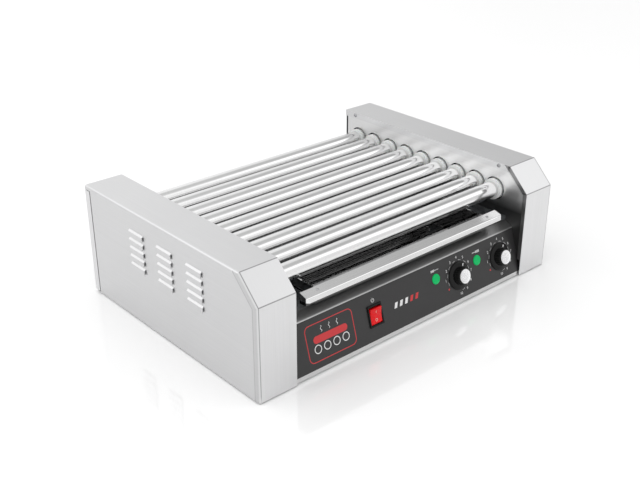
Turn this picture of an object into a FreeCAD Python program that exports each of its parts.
"""Counter-top roller grill with nine heated rollers, as a parametric FreeCAD document.

Every sub-part is drawn in one design frame, in millimetres: x is 0 in the middle of the grill,
y is 0 at the front face of the end housings and grows towards the back, z is 0 under the housings.
The finished sub-parts are then moved so that the origin lies on the counter, under the middle.
"""
import FreeCAD
import Part
import Sketcher
import math
import os
import re
from FreeCAD import Placement, Rotation, Vector

ROLLERS = 9
TEETH = 16
LOUVRE_ROWS = 5
LOUVRE_COLUMNS = 3
SIDE_VENTS = 6
MIDDLE_VENTS = 12
SIDES = {"left": -1, "right": 1}

DIMENSIONS = {
    # Outer form of the end housings
    "width": 580, "depth": 400, "height": 172,
    "cap_width": 62, "chamfer": 35.5, "gauge": 1.2, "bend": 4,
    "foot_height": 1.5, "foot_radius": 12, "foot_taper": 1, "foot_edge": 24, "foot_inset": 28,
    "top_flange": 10, "rear_flange": 12, "rear_gap": 1.8, "rear_drop": 6,
    "front_return": 6.5, "return_low": 26, "foot_flange": 16, "foot_flange_from": 10,
    # Louvres pressed out of the housing sides
    "louvre_first": 128.5, "louvre_spacing": 68.5, "louvre_length": 34,
    "louvre_top": 143.5, "louvre_pitch": 12.6, "louvre_flap": 9.2, "louvre_reach": 2.4,
    "louvre_margin": 1.5,
    # Plates that face the rollers
    "plate_gauge": 1.5, "plate_inset": 8, "plate_hole": 18.5, "plate_back": 395.5,
    "plate_foot": 12, "plate_foot_inset": 8,
    # Rollers and their bushes
    "roller_radius": 12.7, "roller_wall": 1.2, "roller_pitch": 38.1,
    "roller_first": 62.5, "roller_level": 128.2, "roller_end": 256.5, "driven_end": 266,
    "bush_radius": 16.5, "bush_nose": 6, "bush_ring": 5, "bush_neck": 14.5, "bush_shoulder": 4,
    "bush_seat": 15.5, "bush_lip": 1.5, "running_gap": 0.05,
    "rail_from": 240, "rail_gauge": 2.5, "rail_half": 22, "spacer_radius": 5, "spacer_rise": 17,
    # Chain drive: 6.35 mm pitch, sixteen teeth
    "chain_pitch": 6.35, "chain_roller": 1.65, "seat_radius": 2.3, "tooth_height": 1,
    "sprocket_gauge": 2.8, "link_half": 2.6, "link_gauge": 0.9, "link_gap": 1.75,
    "roller_chain_at": 252, "drive_chain_at": 261, "drive_links": 12,
    # Gearmotor
    "motor_radius": 25, "motor_length": 45, "shaft_radius": 3.5, "shaft_end": 268,
    "motor_flange": 60, "motor_flange_gauge": 2, "hub_radius": 8, "hub_length": 6,
    # Heating rods
    "rod_radius": 4, "bracket_at": 270, "bracket_gauge": 1.5, "bracket_half": 11.5,
    "bead_radius": 6, "bead_length": 7, "stud_radius": 2, "stud_end": 284,
    # Control panel that leans back
    "panel_lean": 16.6, "panel_face": 2.5, "panel_foot": 7, "panel_rise": 71,
    "panel_lip_back": 36.5, "panel_lip_top": 83.7, "panel_half": 229.1, "overlay_gauge": 0.5,
    "panel_clearance": 0.4, "stem_hole": 5, "drill": 60,
    # Deck and drip tray
    "deck_top": 82.2, "deck_flange": 8, "runner_height": 2.6, "runner_width": 14,
    "tray_half": 169.7, "tray_gauge": 1, "tray_front": 32.5, "tray_back": 374, "tray_top": 109.6,
    "tray_floor": 85, "handle_half": 195, "handle_low": 95.6, "handle_high": 110.9,
    "handle_brow": 19.2, "handle_brow_level": 107, "handle_nose": 15.6,
    "handle_nose_level": 101.3, "handle_round": 2.6, "handle_gauge": 1.2,
    "handle_return": 5, "handle_end": 6, "handle_corner": 4.5,
    # Controls, measured up the slope from the panel foot
    "control_rise": 35.5, "lamp_rise": 45.7, "lamp_radius": 7.8,
    "front_knob_at": 96, "back_knob_at": 189.5, "front_lamp_at": 48.5, "back_lamp_at": 139,
    "knob_skirt": 21.5, "knob_grip": 12.8, "knob_height": 12, "knob_gap": 0.8,
    "skirt_height": 3, "grip_roof": 4,
    "stem_radius": 3, "cap_radius": 10.9, "cap_gauge": 1,
    "switch_at": -77, "switch_half_width": 12.8, "switch_half_height": 15.5,
    "rocker_half_width": 10.4, "rocker_half_height": 11.6, "rocker_pivot": -3, "rocker_tilt": 9,
    "trunnion_radius": 1.5, "trunnion_half": 11.2,
    # Fasteners
    "screw_hole": 2, "screw_shank": 1.9, "screw_length": 6, "screw_head": 3.4, "screw_crown": 2.4,
    "screw_head_height": 1.8, "recess_half": 1.7, "recess_width": 0.8,
    "case_screw_front": 57, "case_screw_back": 376, "case_screw_drop": 4.5,
    "rear_screw_drop": 8, "pan_screw_level": 8, "deck_screw_level": 90,
    # Back panel
    "rear_height": 118, "wrap_low": 2, "vent_half": 1.6,
    "side_vent_pitch": 7, "side_vent_low": 60, "side_vent_high": 100,
    "middle_vent_pitch": 10, "middle_vent_low": 34, "middle_vent_high": 62,
    "gland_at": 150, "gland_level": 32, "gland_radius": 11, "gland_neck": 8, "gland_nut": 10,
    "gland_head_length": 9, "gland_nut_length": 5, "cord_radius": 4,
    # Terminal block behind the strain relief
    "terminal_width": 48, "terminal_depth": 20, "terminal_height": 15, "terminal_from_back": 66,
    "terminal_slot": 10, "terminal_pitch": 14, "terminal_slot_depth": 6,
    # Thermostats, measured down from the panel's face
    "thermostat_half_width": 19, "thermostat_half_height": 15, "thermostat_low": -34,
    "thermostat_high": -8, "thermostat_neck": 4.9, "stem_low": -22, "bore_low": -24,
}

doc = FreeCAD.newDocument("roller_grill")
sheet = doc.addObject("Spreadsheet::Sheet", "dims")
for row, (alias, number) in enumerate(DIMENSIONS.items(), 1):
    sheet.set(f"A{row}", alias)
    sheet.set(f"B{row}", str(number))
    sheet.setAlias(f"B{row}", alias)
doc.recompute()
pieces = []


def bound(formula):
    """The formula with every dimension name turned into a reference to its spreadsheet cell."""
    names = re.compile(r"[a-z][a-z_]*")
    return names.sub(lambda m: "dims." + m[0] if m[0] in DIMENSIONS else m[0], str(formula))


def value(formula):
    return float(sheet.evalExpression(bound(formula)))


def bind(item, **formulas):
    for prop, formula in formulas.items():
        item.setExpression(prop, bound(formula))


def place(item, at, rotation=Rotation()):
    item.Placement = Placement(Vector(), rotation)
    for axis, formula in zip("xyz", at):
        item.setExpression("Placement.Base." + axis, bound(formula))
    return item


def box(name, low, size):
    item = doc.addObject("Part::Box", name)
    bind(item, Length=size[0], Width=size[1], Height=size[2])
    return place(item, low)


def panel_turn():
    return Rotation(Vector(1, 0, 0), 90 - value("panel_lean"))


TURNS = {"x": Rotation(Vector(0, 1, 0), 90), "y": Rotation(Vector(1, 0, 0), -90), "z": Rotation()}


def cylinder(name, at, axis, radius, length):
    item = doc.addObject("Part::Cylinder", name)
    bind(item, Radius=radius, Height=length)
    return place(item, at, TURNS[axis])


def cone(name, at, axis, radius, end_radius, length):
    item = doc.addObject("Part::Cone", name)
    bind(item, Radius1=radius, Radius2=end_radius, Height=length)
    return place(item, at, TURNS[axis])


def cut(name, base, *tools):
    item = doc.addObject("Part::Cut", name)
    item.Base = base
    item.Tool = tools[0] if len(tools) == 1 else group(name + "_tools", tools)
    return item


def fuse(name, *parts):
    item = doc.addObject("Part::MultiFuse", name)
    item.Shapes = list(parts)
    return item


def group(name, parts):
    item = doc.addObject("Part::Compound", name)
    item.Links = list(parts)
    return item


def copy_of(name, master, at):
    item = doc.addObject("App::Link", name)
    item.LinkedObject = master
    item.LinkTransform = True
    for axis, formula in zip("xyz", at):
        item.setExpression("Placement.Base." + axis, bound(formula))
    return item


def row_of(name, master):
    """Copies of a piece drawn at the first roller, one at every roller."""
    return group(name, [copy_of(f"{name}_{i}", master, (0, f"{i} * roller_pitch", 0))
                        for i in range(ROLLERS)])


def sketch_on(body, name, plane, offset, loops):
    """A sketch of closed loops: lists of (u, v) corners, or (u, v, radius) circles."""
    sketch = body.newObject("Sketcher::SketchObject", name)
    origin = [o for o in body.Origin.OriginFeatures if o.Role == plane + "_Plane"][0]
    sketch.AttachmentSupport = (origin, [""])
    sketch.MapMode = "FlatFace"
    sketch.setExpression("AttachmentOffset.Base.z", bound(offset))

    def pin(kind, *target):
        number = sketch.addConstraint(Sketcher.Constraint(kind, *target[:-1], value(target[-1])))
        sketch.setExpression(f"Constraints[{number}]", bound(target[-1]))

    for loop in loops:
        if isinstance(loop, tuple):
            u, v, radius = loop
            centre = Vector(value(u), value(v), 0)
            edge = sketch.addGeometry(Part.Circle(centre, Vector(0, 0, 1), value(radius)))
            pin("Radius", edge, radius)
            pin("DistanceX", -1, 1, edge, 3, u)
            pin("DistanceY", -1, 1, edge, 3, v)
            continue
        corners = [Vector(value(u), value(v), 0) for u, v in loop]
        count = len(corners)
        edges = [sketch.addGeometry(Part.LineSegment(corners[i], corners[(i + 1) % count]))
                 for i in range(count)]
        for i in range(count):
            following = edges[(i + 1) % count]
            sketch.addConstraint(Sketcher.Constraint("Coincident", edges[i], 2, following, 1))
            pin("DistanceX", -1, 1, edges[i], 1, loop[i][0])
            pin("DistanceY", -1, 1, edges[i], 1, loop[i][1])
    return sketch


def prism(name, plane, start, length, loops, rounded=None, radius=None):
    """A body padded from start towards the positive axis; rounded picks the edges to fillet."""
    body = doc.addObject("PartDesign::Body", name)
    offset = f"-(({start}) + ({length}))" if plane == "XZ" else start
    pad = body.newObject("PartDesign::Pad", name + "_pad")
    pad.Profile = sketch_on(body, name + "_sketch", plane, offset, loops)
    bind(pad, Length=length)
    if rounded:
        doc.recompute()
        picked = [f"Edge{i}" for i, edge in enumerate(pad.Shape.Edges, 1) if rounded(edge.BoundBox)]
        fillet = body.newObject("PartDesign::Fillet", name + "_fillet")
        fillet.Base = (pad, picked)
        bind(fillet, Radius=radius)
    return body


def piece(label, item, on_panel=False):
    """Name a finished sub-part and move it from the design frame to the part's own frame."""
    item.Label = label
    if on_panel:
        place(item, (0, "panel_face - depth / 2", "panel_foot + foot_height"), panel_turn())
    else:
        place(item, (0, "-depth / 2", "foot_height"))
    pieces.append(item)
    return item


def panel_tools(name, *tools):
    """Tools drawn flat on the control panel, leaned back to where the panel stands."""
    return place(group(name, tools), (0, "panel_face", "panel_foot"), panel_turn())


# ---------------------------------------------------------------- end housings

def housing_outline(inset, back):
    """Front, 45 degree chamfer and top of a housing, moved in by inset; open towards back."""
    corner = f"{inset} * tan(22.5)"
    return [(f"{inset}", f"-{inset}"),
            (f"{inset}", f"height - chamfer - {corner}"),
            (f"chamfer + {corner}", f"height - {inset}"),
            (back, f"height - {inset}"),
            (back, f"-{inset}")]


def return_outline():
    """Band along the front and the chamfer: the edge that is folded in towards the plate."""
    outer, inner = "gauge / 2", "front_return"
    return [(outer, "return_low"),
            (outer, f"height - chamfer - {outer} * tan(22.5)"),
            (f"chamfer + {outer} * tan(22.5)", f"height - {outer}"),
            (f"chamfer + {inner} * tan(22.5)", f"height - {inner}"),
            (inner, f"height - chamfer - {inner} * tan(22.5)"),
            (inner, "return_low")]


def louvre_flap(side, row):
    """Section of one louvre: out at 45 degrees from its hinge line, then straight down."""
    face = f"{side} * (width / 2"
    top = f"louvre_top - {row} * louvre_pitch"
    inner = f"{face} + louvre_reach - gauge)"
    return [(face + ")", top),
            (f"{face} + louvre_reach)", f"{top} - louvre_reach"),
            (f"{face} + louvre_reach)", f"{top} - louvre_flap"),
            (inner, f"{top} - louvre_flap"),
            (inner, f"{top} - louvre_reach - gauge * tan(22.5)"),
            (f"{face} - gauge)", f"{top} - gauge * tan(22.5)"),
            (f"{face} - gauge)", top)]


def louvre_slot(column, row):
    middle = f"louvre_first + {column} * louvre_spacing"
    half = "(louvre_length / 2 - louvre_margin)"
    top = f"louvre_top - {row} * louvre_pitch"
    return [(f"{middle} - {half}", f"{top} - louvre_flap"),
            (f"{middle} + {half}", f"{top} - louvre_flap"),
            (f"{middle} + {half}", f"{top} - gauge"), (f"{middle} - {half}", f"{top} - gauge")]


def low_x(side, near, far):
    """The smaller x of a span that runs from near to far, measured outwards from the middle."""
    return near if side > 0 else f"-({far})"


def end_cap(word, side):
    name = word + "_end_cap"
    edge = "width / 2 - cap_width"
    skin_x = side * value("width") / 2
    inner_x = side * (value("width") / 2 - value("gauge"))

    def on_side(x):
        def test(bounds):
            flat = abs(bounds.XMin - x) < 0.01 and abs(bounds.XMax - x) < 0.01
            return flat and bounds.ZMax > 1 and bounds.YMin < value("depth") - 1
        return test

    outer = prism(name + "_outer", "YZ", low_x(side, edge, "width / 2"), "cap_width",
                  [housing_outline("0", "depth")], on_side(skin_x), "bend")
    inner = prism(name + "_inner", "YZ", low_x(side, edge + " - 1", "width / 2 - gauge"),
                  "cap_width - gauge + 1", [housing_outline("gauge", "depth + 1")],
                  on_side(inner_x), "bend - gauge")
    slots = prism(name + "_slots", "YZ", low_x(side, "width / 2 - 3", "width / 2 + 1"), 4,
                  [louvre_slot(c, r) for c in range(LOUVRE_COLUMNS) for r in range(LOUVRE_ROWS)])
    rear = box(name + "_rear", (low_x(side, "width / 2 - 2 * gauge", "width / 2 + 1"),
                                "depth - rear_flange - rear_gap", -1),
               ("2 * gauge + 1", "rear_flange + rear_gap + 1", "height - rear_drop + 1"))
    skin = cut(name + "_skin", outer, inner, slots, rear)
    flaps = [prism(f"{name}_louvres_{c}", "XZ",
                   f"louvre_first + {c} * louvre_spacing - louvre_length / 2", "louvre_length",
                   [louvre_flap(side, r) for r in range(LOUVRE_ROWS)])
             for c in range(LOUVRE_COLUMNS)]
    top_flange = box(name + "_top_flange",
                     (low_x(side, edge, edge + " + gauge"), "chamfer + 3", "height - top_flange"),
                     ("gauge", "depth - chamfer - 3", "top_flange - gauge / 2"))
    rear_flange = box(name + "_rear_flange",
                      (low_x(side, edge + " + 4", "width / 2 - 4"), "depth - 2 * gauge",
                       "height - top_flange - 3"),
                      ("cap_width - 8", "gauge", "top_flange + 3 - gauge / 2"))
    foot_flange = box(name + "_foot_flange",
                      (low_x(side, "width / 2 - foot_flange", "width / 2 - gauge / 2"),
                       "foot_flange_from", "gauge"),
                      ("foot_flange - gauge / 2", "depth - 4 * foot_flange_from", "gauge"))
    front_return = prism(name + "_front_return", "YZ", low_x(side, edge, edge + " + gauge"),
                         "gauge", [return_outline()])
    folded = fuse(name + "_folded", skin, *flaps, top_flange, rear_flange, foot_flange,
                  front_return)
    piece(name, cut(name, folded, case_screw_holes(word, side)))


def case_screw_places(side):
    """Two screws through each housing's top flange into its plate: (x, y, z) of the head."""
    return [(f"{side} * (width / 2 - cap_width)", y, "height - case_screw_drop")
            for y in ("case_screw_front", "case_screw_back")]


def case_screw_tools(name, side):
    """Drills for a housing's two case screws, long enough for its flange and plate."""
    start = low_x(side, "width / 2 - cap_width - 4", "width / 2 - cap_width + 8")
    return [cylinder(f"{name}_case_hole_{i}", (start, y, z), "x", "screw_hole", 12)
            for i, (x, y, z) in enumerate(case_screw_places(side))]


def case_screw_holes(word, side):
    holes = case_screw_tools(word + "_cap", side)
    holes.append(cylinder(word + "_cap_rear_hole", (f"{side} * (width - cap_width) / 2",
                                                    "depth - 8", "height - rear_screw_drop"),
                          "y", "screw_hole", 12))
    return group(word + "_cap_holes", holes)


def bearing_plate(word, side):
    name = word + "_bearing_plate"
    near = "width / 2 - cap_width + gauge + 0.1"
    inset = "plate_inset * tan(22.5)"
    outline = [("plate_inset", "gauge"),
               ("plate_inset", f"height - chamfer - {inset}"),
               (f"chamfer + {inset} - gauge", "height - plate_inset - gauge"),
               ("chamfer + plate_inset - gauge", "height - 2 * gauge"),
               ("plate_back", "height - 2 * gauge"),
               ("plate_back", "gauge")]
    holes = [(f"roller_first + {i} * roller_pitch", "roller_level", "plate_hole")
             for i in range(ROLLERS)]
    if side > 0:
        holes.append(("roller_first + 4 * roller_pitch",
                      "roller_level - drive_links * chain_pitch", "hub_radius + 1"))
    sheet_metal = prism(name + "_sheet", "YZ", low_x(side, near, near + " + plate_gauge"),
                        "plate_gauge", [outline] + holes)
    foot = box(name + "_foot", (low_x(side, near + " + plate_gauge",
                                      near + " + plate_gauge + plate_foot"),
                                "plate_inset + plate_foot_inset", "gauge"),
               ("plate_foot", "plate_back - plate_inset - 2 * plate_foot_inset", "plate_gauge"))
    folded = fuse(name + "_folded", sheet_metal, foot)
    piece(name, cut(name, folded, *case_screw_tools(name, side)))


# ---------------------------------------------------------------- rollers, bushes, heating rods

def bearing_rail(word, side):
    name = word + "_bearing_rail"
    last = f"roller_first + {ROLLERS - 1} * roller_pitch"
    outline = [("roller_first - rail_half", "roller_level - rail_half"),
               (f"{last} + rail_half", "roller_level - rail_half"),
               (f"{last} + rail_half", "roller_level + rail_half"),
               ("roller_first - rail_half", "roller_level + rail_half")]
    holes = [(f"roller_first + {i} * roller_pitch", "roller_level", "bush_seat")
             for i in range(ROLLERS)]
    piece(name, prism(name, "YZ", low_x(side, "rail_from", "rail_from + rail_gauge"),
                      "rail_gauge", [outline] + holes))


def rail_spacers():
    near = "width / 2 - cap_width + gauge + 0.1 + plate_gauge"
    spacers = []
    for word, side in SIDES.items():
        for slot in (0.5, ROLLERS - 1.5):
            for rise in (-1, 1):
                name = f"{word}_spacer_{int(slot)}_{'low' if rise < 0 else 'high'}"
                at = (low_x(side, near, "rail_from"), f"roller_first + {slot} * roller_pitch",
                      f"roller_level + {rise} * spacer_rise")
                spacers.append(cylinder(name, at, "x", "spacer_radius", f"rail_from - ({near})"))
    piece("rail_spacers", group("rail_spacers", spacers))


def roller_bushes(word, side):
    """PTFE bushes: a ring proud of the plate, a neck through it, a shoulder and seat at the rail."""
    name = word + "_roller_bushes"
    nose = "width / 2 - cap_width - bush_nose"
    seat_end = "rail_from + rail_gauge + bush_lip"
    centre = ("roller_first", "roller_level")
    steps = [("ring", nose, nose + " + bush_ring", "bush_radius"),
             ("neck", nose + " + bush_ring", "rail_from - bush_shoulder", "bush_neck"),
             ("shoulder", "rail_from - bush_shoulder", "rail_from", "bush_radius"),
             ("seat", "rail_from", seat_end, "bush_seat")]
    turned = [cylinder(f"{name}_{step}", (low_x(side, near, far), *centre), "x", radius,
                       f"{far} - ({near})")
              for step, near, far, radius in steps]
    bore = cylinder(name + "_bore", (low_x(side, nose + " - 1", seat_end + " + 1"), *centre), "x",
                    "roller_radius + running_gap", f"{seat_end} - ({nose}) + 2")
    bush = cut(name + "_bush", fuse(name + "_turned", *turned), bore)
    piece(name, row_of(name, bush))


def roller(number):
    name = f"roller_{number}"
    at = (f"roller_first + {number - 1} * roller_pitch", "roller_level")
    start = "-(rail_from + rail_gauge + 5)"
    end = "driven_end" if number == 5 else "roller_end"
    tube = cylinder(name + "_tube", (start, *at), "x", "roller_radius", f"{end} - ({start})")
    bore = cylinder(name + "_bore", (f"{start} - 1", *at), "x", "roller_radius - roller_wall",
                    f"{end} - ({start}) + 2")
    piece(name, cut(name, tube, bore))


def heating_rods():
    rod = cylinder("heating_rod", ("-(bracket_at + bracket_gauge)", "roller_first", "roller_level"),
                   "x", "rod_radius", "2 * (bracket_at + bracket_gauge)")
    studs = [cylinder(f"{word}_rod_stud", (low_x(side, "bracket_at + bracket_gauge", "stud_end"),
                                           "roller_first", "roller_level"),
                      "x", "stud_radius", "stud_end - bracket_at - bracket_gauge")
             for word, side in SIDES.items()]
    piece("heating_elements", row_of("heating_elements", fuse("heating_rod_with_studs", rod, *studs)))
    beads = []
    for word, side in SIDES.items():
        near = "bracket_at + bracket_gauge"
        at = (low_x(side, near, near + " + bead_length"), "roller_first", "roller_level")
        body = cylinder(word + "_bead_body", at, "x", "bead_radius", "bead_length")
        bore = cylinder(word + "_bead_bore", at, "x", "stud_radius", "bead_length")
        beads.append(cut(word + "_bead", body, bore))
    piece("element_insulators", row_of("element_insulators", group("bead_pair", beads)))


def element_bracket(word, side):
    """A strip with a hole for every heating rod, with a leg to the plate at each end."""
    name = word + "_element_bracket"
    plate = "width / 2 - cap_width + gauge + 0.1 + plate_gauge"
    low, high = "roller_level - bracket_half", "roller_level + bracket_half"
    front, back = "roller_first - 26", f"roller_first + {ROLLERS - 1} * roller_pitch + 26"
    outline = [(front, low), (back, low), (back, high), (front, high)]
    holes = [(f"roller_first + {i} * roller_pitch", "roller_level", "rod_radius")
             for i in range(ROLLERS)]
    strip = prism(name + "_strip", "YZ", low_x(side, "bracket_at", "bracket_at + bracket_gauge"),
                  "bracket_gauge", [outline] + holes)
    legs = [box(f"{name}_leg_{i}", (low_x(side, plate, "bracket_at + bracket_gauge / 2"), y, low),
                (f"bracket_at + bracket_gauge / 2 - ({plate})", "bracket_gauge",
                 "2 * bracket_half"))
            for i, y in enumerate((front, back + " - bracket_gauge"))]
    piece(name, fuse(name, strip, *legs))


# ---------------------------------------------------------------- chain drive and gearmotor

def sprocket_master(name, bore, hub=None):
    """A sixteen-tooth sprocket around the x axis, its middle plane at x = 0."""
    pitch_radius = f"chain_pitch / sin(180 / {TEETH}) / 2"
    body = doc.addObject("PartDesign::Body", name)
    pad = body.newObject("PartDesign::Pad", name + "_blank")
    pad.Profile = sketch_on(body, name + "_disc", "YZ", "-sprocket_gauge / 2",
                            [(0, 0, f"{pitch_radius} + tooth_height"), (0, 0, bore)])
    bind(pad, Length="sprocket_gauge")
    gap = body.newObject("PartDesign::Pocket", name + "_gap")
    gap.Profile = sketch_on(body, name + "_seat", "YZ", "-sprocket_gauge / 2",
                            [(0, pitch_radius, "seat_radius")])
    gap.Type = 1
    gap.Reversed = True
    doc.recompute()
    pattern = body.newObject("PartDesign::PolarPattern", name + "_teeth")
    pattern.Originals = [gap]
    axis = [o for o in body.Origin.OriginFeatures if o.Role == "X_Axis"][0]
    pattern.Axis = (axis, [""])
    pattern.Angle = 360
    pattern.Occurrences = TEETH
    body.Tip = pattern
    doc.recompute()
    if pad.Shape.Volume - pattern.Shape.Volume < 1:
        raise RuntimeError(name + " has no teeth")
    if not hub:
        return body
    sleeve = cylinder(name + "_hub", ("sprocket_gauge / 2", 0, 0), "x", hub, "hub_length")
    hollow = cylinder(name + "_hub_bore", (0, 0, 0), "x", bore, "hub_length * 2")
    return cut(name + "_turned", fuse(name + "_body", body, sleeve), hollow)


def chain(name, plane, centres):
    """A closed roller chain round two equal sprockets: two side bands and a roller every pitch."""
    pitch = value("chain_pitch")
    radius = pitch / math.sin(math.pi / TEETH) / 2
    first, last = centres
    along = (last - first).normalize()
    links = round((last - first).Length / pitch)
    outward = Vector(1, 0, 0).cross(along)

    def band(half, x):
        """Racetrack face at the given distance from the line between the sprockets."""
        corners = [first + outward * half, last + outward * half,
                   last - outward * half, first - outward * half]
        shift = Vector(x, 0, 0)
        corners = [c + shift for c in corners]
        edges = [Part.LineSegment(corners[0], corners[1]).toShape(),
                 Part.Arc(corners[1], last + along * half + shift, corners[2]).toShape(),
                 Part.LineSegment(corners[2], corners[3]).toShape(),
                 Part.Arc(corners[3], first - along * half + shift, corners[0]).toShape()]
        return Part.Face(Part.Wire(edges))

    solids = []
    half, gauge, gap = value("link_half"), value("link_gauge"), value("link_gap")
    for start in (plane + gap, plane - gap - gauge):
        ring = band(radius + half, start).cut(band(radius - half, start))
        solids += ring.extrude(Vector(gauge, 0, 0)).Solids
    spots = [first + s * outward * radius + along * pitch * k
             for s in (1, -1) for k in range(links + 1)]
    for end, sign in ((last, 1), (first, -1)):
        for step in range(1, TEETH // 2):
            angle = math.pi * step / (TEETH // 2)
            spots.append(end + outward * radius * math.cos(angle)
                         + along * radius * sign * math.sin(angle))
    for spot in spots:
        solids.append(Part.makeCylinder(value("chain_roller"), 2 * gap,
                                        Vector(plane - gap, spot.y, spot.z), Vector(1, 0, 0)))
    item = doc.addObject("Part::Feature", name)
    item.Shape = Part.makeCompound(solids)
    piece(name, item)


def drive():
    level = "roller_level - drive_links * chain_pitch"
    middle = f"roller_first + {ROLLERS // 2} * roller_pitch"
    ring = sprocket_master("ring_sprocket", "roller_radius")
    for i in range(ROLLERS):
        at = ("roller_chain_at", f"roller_first + {i} * roller_pitch", "roller_level")
        piece(f"roller_sprocket_{i + 1}", group(f"sprocket_{i + 1}",
              [copy_of(f"sprocket_copy_{i + 1}", ring, at)]))
    driven = copy_of("driven_copy", ring, ("drive_chain_at", middle, "roller_level"))
    piece("driven_sprocket", group("driven_sprocket", [driven]))
    hubbed = sprocket_master("hub_sprocket", "shaft_radius", "hub_radius")
    driving = copy_of("drive_copy", hubbed, ("drive_chain_at", middle, level))
    piece("drive_sprocket", group("drive_sprocket", [driving]))

    last = f"roller_first + {ROLLERS - 1} * roller_pitch"
    chain("roller_chain", value("roller_chain_at"),
          (Vector(0, value("roller_first"), value("roller_level")),
           Vector(0, value(last), value("roller_level"))))
    chain("drive_chain", value("drive_chain_at"),
          (Vector(0, value(middle), value(level)), Vector(0, value(middle), value("roller_level"))))

    plate = "width / 2 - cap_width + gauge + 0.1"
    flange = box("motor_flange_plate",
                 (f"{plate} - motor_flange_gauge", f"{middle} - motor_flange / 2",
                  f"{level} - motor_radius"),
                 ("motor_flange_gauge", "motor_flange", "2 * motor_radius"))
    can = cylinder("motor_can", (f"{plate} - motor_flange_gauge - motor_length", middle, level),
                   "x", "motor_radius", "motor_length")
    nose_bore = cylinder("motor_nose_bore", (f"{plate} - 14", middle, level), "x",
                         "shaft_radius + running_gap", 20)
    piece("gearmotor", cut("gearmotor", fuse("motor_body", flange, can), nose_bore))
    start = f"{plate} - 13.5"
    piece("motor_shaft", group("motor_shaft", [
        cylinder("motor_shaft_rod", (start, middle, level), "x", "shaft_radius",
                 f"shaft_end - ({start})")]))


# ---------------------------------------------------------------- base, back, front, deck

def base_pan():
    floor = box("pan_floor", ("-(width / 2 - gauge - 0.2)", "panel_face + gauge", 0),
                ("width - 2 * gauge - 0.4", "depth - panel_face - 2.5 * gauge", "gauge"))
    rear = box("pan_rear_flange", ("-panel_half", "depth - 2 * gauge - 0.1", 0),
               ("2 * panel_half", "gauge", 14))
    holes = rear_screw_tools("pan", [p for p in rear_screw_places() if p[1] == "pan_screw_level"])
    piece("base_pan", cut("base_pan", fuse("pan_folded", floor, rear), *holes))


def foot_places():
    return [(f"{side} * (width / 2 - foot_edge)", y)
            for side in (-1, 1) for y in ("foot_inset", "depth - foot_inset")]


def feet():
    """Four rubber pads glued under the base pan."""
    piece("feet", group("feet", [
        cone(f"foot_{i}", (x, y, "-foot_height"), "z", "foot_radius - foot_taper", "foot_radius",
             "foot_height")
        for i, (x, y) in enumerate(foot_places())]))


def rear_screw_places():
    """(x, z) of every screw in the back panel."""
    return [(x, "pan_screw_level") for x in (-200, -70, 70, 200)] + \
        [(x, "deck_screw_level") for x in (-120, 120)] + \
        [(f"{side} * (width - cap_width) / 2", "height - rear_screw_drop") for side in (-1, 1)]


def rear_screw_tools(name, places):
    return [cylinder(f"{name}_rear_hole_{i}", (x, "depth - 12", z), "y", "screw_hole", 14)
            for i, (x, z) in enumerate(places)]


def vent(middle, number, kind, count):
    """One upright slot of a row of vents in the back panel, as a loop of corners."""
    centre = f"{middle} + ({number} - {(count - 1) / 2}) * {kind}_vent_pitch"
    low, high = f"{kind}_vent_low", f"{kind}_vent_high"
    return [(f"{centre} - vent_half", low), (f"{centre} + vent_half", low),
            (f"{centre} + vent_half", high), (f"{centre} - vent_half", high)]


def rear_panel():
    """Full-width back: low between the housings, high behind them, wrapped round the sides."""
    edge = "width / 2 - cap_width"
    high_edge = f"{edge} + gauge + 0.1"
    inner = "width / 2 - gauge - 0.1"
    top = "height - gauge - 0.2"
    outline = [(f"-({inner})", "gauge + 0.2"), (inner, "gauge + 0.2"),
               (inner, f"{top} - bend"), (f"{inner} - bend", top), (high_edge, top),
               (high_edge, "rear_height"), (f"-({high_edge})", "rear_height"),
               (f"-({high_edge})", top), (f"-({inner} - bend)", top),
               (f"-({inner})", f"{top} - bend")]
    slots = [vent(f"{side} * (width - cap_width) / 2", i, "side", SIDE_VENTS)
             for side in SIDES.values() for i in range(SIDE_VENTS)]
    slots += [vent("0", i, "middle", MIDDLE_VENTS) for i in range(MIDDLE_VENTS)]
    back = prism("rear_sheet", "XZ", "depth - gauge", "gauge", [outline] + slots)
    wraps = [box(f"{word}_rear_wrap", (low_x(side, "width / 2 - gauge", "width / 2"),
                                       "depth - rear_flange", "wrap_low"),
                 ("gauge", "rear_flange", "height - rear_drop - wrap_low - 1"))
             for word, side in SIDES.items()]
    joins = [box(f"{word}_rear_join", (low_x(side, "width / 2 - gauge - 0.1", "width / 2"),
                                       "depth - gauge", "wrap_low"),
                 ("gauge + 0.1", "gauge", "height - rear_drop - wrap_low - 1"))
             for word, side in SIDES.items()]
    hem = box("rear_hem", (f"-({edge})", "depth - rear_flange", "rear_height - gauge"),
              (f"2 * ({edge})", "rear_flange", "gauge"))
    holes = rear_screw_tools("back", rear_screw_places())
    holes.append(cylinder("gland_hole", ("gland_at", "depth - 5", "gland_level"), "y",
                          "gland_neck", 10))
    piece("rear_panel", cut("rear_panel", fuse("rear_folded", back, *wraps, *joins, hem), *holes))


def cord_gland():
    """Strain relief bushing in the back panel, with a bore for a supply cord."""
    at = ("gland_at", "depth", "gland_level")
    nut_end = "depth - gauge - gland_nut_length"
    head = cone("gland_head", at, "y", "gland_radius", "gland_neck", "gland_head_length")
    neck = cylinder("gland_neck_turned", ("gland_at", "depth - gauge", "gland_level"), "y",
                    "gland_neck", "gauge")
    nut = cylinder("gland_nut_turned", ("gland_at", nut_end, "gland_level"), "y",
                   "gland_nut", "gland_nut_length")
    bore = cylinder("gland_bore", ("gland_at", nut_end + " - 1", "gland_level"), "y",
                    "cord_radius", "gauge + gland_nut_length + gland_head_length + 2")
    piece("cord_gland", cut("cord_gland", fuse("gland_body", head, neck, nut), bore))


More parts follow.
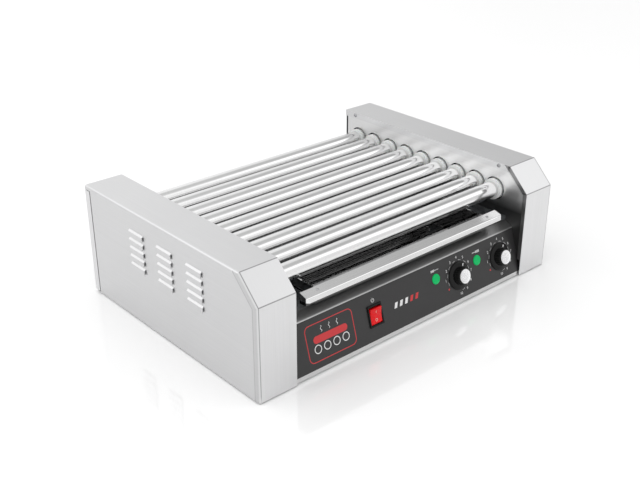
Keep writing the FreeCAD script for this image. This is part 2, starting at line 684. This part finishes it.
def terminal_block():
    base = box("terminal_base", ("gland_at - terminal_width / 2", "depth - terminal_from_back",
                                 "gauge"),
               ("terminal_width", "terminal_depth", "terminal_height"))
    slots = [box(f"terminal_slot_{i}",
                 (f"gland_at + {i} * terminal_pitch - terminal_slot / 2",
                  "depth - terminal_from_back - 1",
                  "gauge + (terminal_height - terminal_slot_depth) / 2"),
                 ("terminal_slot", "terminal_depth + 2", "terminal_slot_depth"))
             for i in (-1, 0, 1)]
    piece("terminal_block", cut("terminal_block", base, *slots))


def panel_outline(face, foot, thick):
    """Front panel section: kerb strip, leaning face, then a lip that rises towards the deck."""
    top_y = f"{face} + panel_rise * sin(panel_lean)"
    top_z = f"{foot} + panel_rise * cos(panel_lean)"
    return [(face, "panel_clearance"), (face, foot), (top_y, top_z),
            ("panel_lip_back", "panel_lip_top"),
            ("panel_lip_back", f"panel_lip_top - {thick}"),
            (f"{top_y} + {thick}", f"{top_z} - {thick} * 0.9"),
            (f"{face} + {thick}", f"{foot} - {thick} * tan(panel_lean / 2)"),
            (f"{face} + {thick}", "panel_clearance")]


def front_panel():
    sheet_metal = prism("panel_sheet", "YZ", "-panel_half", "2 * panel_half",
                        [panel_outline("panel_face", "panel_foot", "gauge")])
    tools = panel_tools("panel_holes", *control_holes("panel"))
    ends = []
    for word, side in SIDES.items():
        cheek = [("panel_face + gauge", "gauge + 1"),
                 ("panel_face + gauge", "panel_foot"),
                 ("panel_face + gauge + panel_rise * sin(panel_lean) - 0.5",
                  "panel_foot + panel_rise * cos(panel_lean) - 1.5"),
                 ("panel_lip_back - 10", "panel_lip_top - gauge - 6"), ("30", "gauge + 1")]
        ends.append(prism(f"{word}_panel_cheek", "YZ",
                          low_x(side, "panel_half - gauge", "panel_half"), "gauge", [cheek]))
    piece("front_panel", cut("front_panel", fuse("panel_folded", sheet_metal, *ends), tools))


def control_holes(name):
    """Openings for the switch, two stems and two lamps, drawn flat on the panel."""
    holes = [box(name + "_switch_hole",
                 ("switch_at - switch_half_width + 1.3", "control_rise - switch_half_height + 1",
                  "-drill / 2"),
                 ("2 * switch_half_width - 2.6", "2 * switch_half_height - 2", "drill"))]
    holes += [cylinder(f"{name}_{at}_hole", (at, "control_rise", "-drill / 2"), "z", "stem_hole",
                       "drill")
              for at in ("front_knob_at", "back_knob_at")]
    holes += [cylinder(f"{name}_{at}_hole", (at, "lamp_rise", "-drill / 2"), "z",
                       "lamp_radius - 0.9", "drill")
              for at in ("front_lamp_at", "back_lamp_at")]
    return holes


def control_overlay():
    plate = box("overlay_sheet", ("-panel_half + 0.5", 0.3, 0),
                ("2 * panel_half - 1", "panel_rise - 1.2", "overlay_gauge"))
    piece("control_overlay", cut("control_overlay", plate, *control_holes("overlay")), True)


def tray_deck():
    """Sheet that carries the tray and covers the wiring below it."""
    half = "panel_half"
    front, back = "panel_lip_back + 0.2", "depth - 2 * gauge - 0.1"
    floor = box("deck_floor", (f"-{half}", front, "deck_top - gauge"),
                (f"2 * {half}", f"{back} - ({front})", "gauge"))
    sides = [box(f"{word}_deck_flange", (low_x(side, f"{half} - gauge", half), front,
                                         "deck_top - gauge"),
                 ("gauge", f"plate_back - ({front})", "deck_flange + gauge"))
             for word, side in SIDES.items()]
    rear = box("deck_rear_flange", (f"-{half} + 2", f"{back}", "deck_top - gauge"),
               (f"2 * {half} - 4", "gauge", 20))
    holes = rear_screw_tools("deck", [p for p in rear_screw_places() if p[1] == "deck_screw_level"])
    piece("tray_deck", cut("tray_deck", fuse("deck_folded", floor, *sides, rear), *holes))


def tray_guides():
    """Two runners that lift the tray clear of the deck and keep it straight."""
    solids = []
    for word, side in SIDES.items():
        runner = box(f"{word}_runner", (low_x(side, "tray_half - runner_width", "tray_half + 3"),
                                        "panel_lip_back + 3", "deck_top"),
                     ("runner_width + 3", 330, "runner_height - 0.1"))
        fence = box(f"{word}_fence", (low_x(side, "tray_half + 1.5", "tray_half + 3"),
                                      "panel_lip_back + 3", "deck_top"), (1.5, 330, 12))
        solids.append(fuse(f"{word}_guide", runner, fence))
    piece("tray_guides", group("tray_guides", solids))


def drip_tray():
    outer = box("tray_outer", ("-tray_half", "tray_front", "tray_floor"),
                ("2 * tray_half", "tray_back - tray_front", "tray_top - tray_floor"))
    inner = box("tray_inner", ("-(tray_half - tray_gauge)", "tray_front + tray_gauge",
                               "tray_floor + tray_gauge"),
                ("2 * (tray_half - tray_gauge)", "tray_back - tray_front - 2 * tray_gauge",
                 "tray_top - tray_floor"))
    piece("drip_tray", cut("drip_tray", outer, inner))


def tray_handle():
    """Folded lip along the tray's front: sloping top, rounded nose, short return below it."""
    def along_x(corners):
        def test(bounds):
            long = bounds.XLength > 1 and bounds.YLength < 0.01 and bounds.ZLength < 0.01
            return long and any(abs(bounds.YMin - value(y)) < 0.05
                                and abs(bounds.ZMin - value(z)) < 0.05 for y, z in corners)
        return test

    gauge = "handle_gauge"
    outer = [("tray_front", "handle_low"), ("tray_front", "handle_high"),
             ("handle_brow", "handle_brow_level"), ("handle_nose", "handle_nose_level"),
             ("handle_brow + 1", "handle_low")]
    inner = [(f"tray_front - {gauge}", "handle_low - 1"),
             (f"tray_front - {gauge}", f"handle_high - 1.6 * {gauge}"),
             (f"handle_brow + 0.7 * {gauge}", f"handle_brow_level - 0.8 * {gauge}"),
             (f"handle_nose + 1.2 * {gauge}", "handle_nose_level"),
             (f"handle_brow + 1 + 0.5 * {gauge}", f"handle_low + {gauge}"),
             ("handle_brow + handle_return", f"handle_low + {gauge}"),
             ("handle_brow + handle_return", "handle_low - 1")]
    shell = prism("handle_outer", "YZ", "-handle_half", "2 * handle_half", [outer],
                  along_x(outer[2:]), "handle_round")
    hollow = prism("handle_inner", "YZ", "-(handle_half - handle_end)",
                   "2 * (handle_half - handle_end)", [inner],
                   along_x(inner[2:5]), "handle_round - handle_gauge")
    front = "handle_nose - 1"
    corners = [[(f"{side} * (handle_half + 1)", front),
                (f"{side} * (handle_half - handle_corner - 1)", front),
                (f"{side} * (handle_half + 1)", f"{front} + handle_corner + 2")]
               for side in SIDES.values()]
    trim = prism("handle_corners", "XY", "handle_low - 2", "handle_high - handle_low + 4", corners)
    piece("tray_handle", cut("tray_handle", shell, hollow, trim))


# ---------------------------------------------------------------- controls

def power_switch():
    low = ("switch_at - switch_half_width", "control_rise - switch_half_height")
    flange = box("switch_flange", (*low, "overlay_gauge"),
                 ("2 * switch_half_width", "2 * switch_half_height", 2))
    body = box("switch_body", ("switch_at - switch_half_width + 1.5",
                               "control_rise - switch_half_height + 1.2", -20),
               ("2 * switch_half_width - 3", "2 * switch_half_height - 2.4", 21))
    well = box("switch_well", ("switch_at - rocker_half_width - 0.4",
                               "control_rise - rocker_half_height - 1.4", -16),
               ("2 * rocker_half_width + 0.8", "2 * rocker_half_height + 2.8", 30))
    pin_hole = cylinder("switch_pin_hole", ("switch_at - switch_half_width", "control_rise",
                                            "rocker_pivot"), "x", "trunnion_radius + 0.1",
                        "2 * switch_half_width")
    piece("switch_housing", cut("switch_housing", fuse("switch_shell", flange, body), well,
                                pin_hole), True)


def rocker_points():
    """Neutral section of the rocker about its pivot: a shallow V on top, rounded below."""
    half = value("rocker_half_height")
    return [(-half, 6.9), (0, 5.6), (half, 6.9), (half - 2, -1), (5, -7), (-5, -7), (2 - half, -1)]


def power_rocker():
    tilt = math.radians(value("rocker_tilt"))
    turned = [(v * math.cos(tilt) - w * math.sin(tilt), v * math.sin(tilt) + w * math.cos(tilt))
              for v, w in rocker_points()]
    outline = [(f"control_rise + {v:.3f}", f"rocker_pivot + {w:.3f}") for v, w in turned]
    rocker = prism("rocker_section", "YZ", "switch_at - rocker_half_width",
                   "2 * rocker_half_width", [outline])
    pin = cylinder("rocker_pin", ("switch_at - trunnion_half", "control_rise", "rocker_pivot"), "x",
                   "trunnion_radius", "2 * trunnion_half")
    piece("power_rocker", fuse("power_rocker", rocker, pin), True)


def thermostats():
    solids = []
    for word in ("front", "back"):
        at = word + "_knob_at"
        body = box(word + "_thermostat_body",
                   (f"{at} - thermostat_half_width", "control_rise - thermostat_half_height",
                    "thermostat_low"),
                   ("2 * thermostat_half_width", "2 * thermostat_half_height",
                    "thermostat_high - thermostat_low"))
        neck = cylinder(word + "_thermostat_nose", (at, "control_rise", "thermostat_high - 0.1"),
                        "z", "thermostat_neck", "-thermostat_high")
        bore = cylinder(word + "_thermostat_bore", (at, "control_rise", "bore_low"), "z",
                        "stem_radius + running_gap", "drill")
        solids.append(cut(word + "_thermostat", fuse(word + "_thermostat_case", body, neck), bore))
    piece("thermostats", group("thermostats", solids), True)


def knob(word):
    """Control knob: a ring-shaped skirt, a slightly tapered grip, a spun cap, and its stem."""
    at = word + "_knob_at"
    low = "overlay_gauge + knob_gap"
    skirt = cone(word + "_skirt_disc", (at, "control_rise", low), "z", "knob_skirt",
                 "knob_skirt - 1", "skirt_height")
    skirt_bore = cylinder(word + "_skirt_bore", (at, "control_rise", f"{low} - 1"), "z",
                          "stem_radius", "skirt_height + 2")
    grip = cone(word + "_grip_body", (at, "control_rise", f"{low} + skirt_height"), "z",
                "knob_grip + 0.8", "knob_grip", "knob_height - skirt_height")
    grip_bore = cylinder(word + "_grip_bore", (at, "control_rise", low), "z", "stem_radius",
                         "knob_height - grip_roof")
    piece(word + "_heat_knob", group(word + "_heat_knob", [
        cut(word + "_skirt", skirt, skirt_bore), cut(word + "_grip", grip, grip_bore)]), True)
    disc = cylinder(word + "_cap_disc", (at, "control_rise", f"{low} + knob_height"), "z",
                    "cap_radius", "cap_gauge")
    piece(word + "_knob_cap", group(word + "_knob_cap", [disc]), True)
    stem = cylinder(word + "_stem_rod", (at, "control_rise", "stem_low"), "z", "stem_radius",
                    "overlay_gauge + knob_gap + knob_height - grip_roof - 1 - stem_low")
    piece(word + "_thermostat_stem", group(word + "_thermostat_stem", [stem]), True)


def indicator_lamps():
    solids = []
    for word in ("front", "back"):
        at = word + "_lamp_at"
        lens = cone(word + "_lens", (at, "lamp_rise", "overlay_gauge"), "z", "lamp_radius",
                    "lamp_radius - 0.8", 2)
        body = cylinder(word + "_lamp_body", (at, "lamp_rise", -18), "z", "lamp_radius - 1",
                        "18 + overlay_gauge")
        solids.append(fuse(word + "_lamp", lens, body))
    piece("indicator_lamps", group("indicator_lamps", solids), True)


# ---------------------------------------------------------------- fasteners

def screw_master():
    """Pan-head machine screw along z: head above z = 0 with a cross recess, shank below."""
    head = cone("screw_head", (0, 0, 0), "z", "screw_head", "screw_crown", "screw_head_height")
    shank = cylinder("screw_shank", (0, 0, "-screw_length"), "z", "screw_shank", "screw_length")
    cross = [box("cross_a", ("-recess_width / 2", "-recess_half", 1),
                 ("recess_width", "2 * recess_half", 1)),
             box("cross_b", ("-recess_half", "-recess_width / 2", 1),
                 ("2 * recess_half", "recess_width", 1))]
    return cut("screw", fuse("screw_blank", head, shank), *cross)


def screws():
    master = screw_master()
    solids = []

    def add(name, at, direction):
        turned = copy_of(name, master, at)
        turned.Placement.Rotation = Rotation(Vector(0, 0, 1), direction)
        solids.append(turned)

    for word, side in SIDES.items():
        for i, at in enumerate(case_screw_places(side)):
            add(f"{word}_case_screw_{i}", at, Vector(-side, 0, 0))
    for i, (x, z) in enumerate(rear_screw_places()):
        add(f"rear_screw_{i}", (x, "depth", z), Vector(0, 1, 0))
    piece("case_screws", group("case_screws", solids))


def build():
    for word, side in SIDES.items():
        end_cap(word, side)
        bearing_plate(word, side)
        bearing_rail(word, side)
        roller_bushes(word, side)
        element_bracket(word, side)
    for number in range(1, ROLLERS + 1):
        roller(number)
    rail_spacers()
    heating_rods()
    drive()
    base_pan()
    feet()
    rear_panel()
    cord_gland()
    terminal_block()
    front_panel()
    control_overlay()
    tray_deck()
    tray_guides()
    drip_tray()
    tray_handle()
    power_switch()
    power_rocker()
    thermostats()
    for word in ("front", "back"):
        knob(word)
    indicator_lamps()
    screws()
    doc.recompute()


def check_and_write():
    for item in doc.Objects:
        if "Invalid" in item.State or "Error" in item.State:
            raise RuntimeError(f"{item.Label} failed: {item.State}")
    os.makedirs("parts", exist_ok=True)
    labels = [item.Label for item in pieces]
    if len(set(labels)) != len(labels) or len(labels) > 60:
        raise RuntimeError("sub-part labels repeat, or there are more than 60")
    for item in pieces:
        shape = item.Shape
        if shape.isNull() or not shape.isValid() or not shape.Solids:
            raise RuntimeError(f"{item.Label} has no valid solid")
        shape.exportStep(f"parts/{item.Label}.step")
        bounds = shape.BoundBox
        print(f"{item.Label:24s} {len(shape.Solids):4d} solids  x {bounds.XMin:8.2f} {bounds.XMax:8.2f}"
              f"  y {bounds.YMin:8.2f} {bounds.YMax:8.2f}  z {bounds.ZMin:7.2f} {bounds.ZMax:7.2f}")
    print(len(pieces), "sub-parts")


build()
check_and_write()
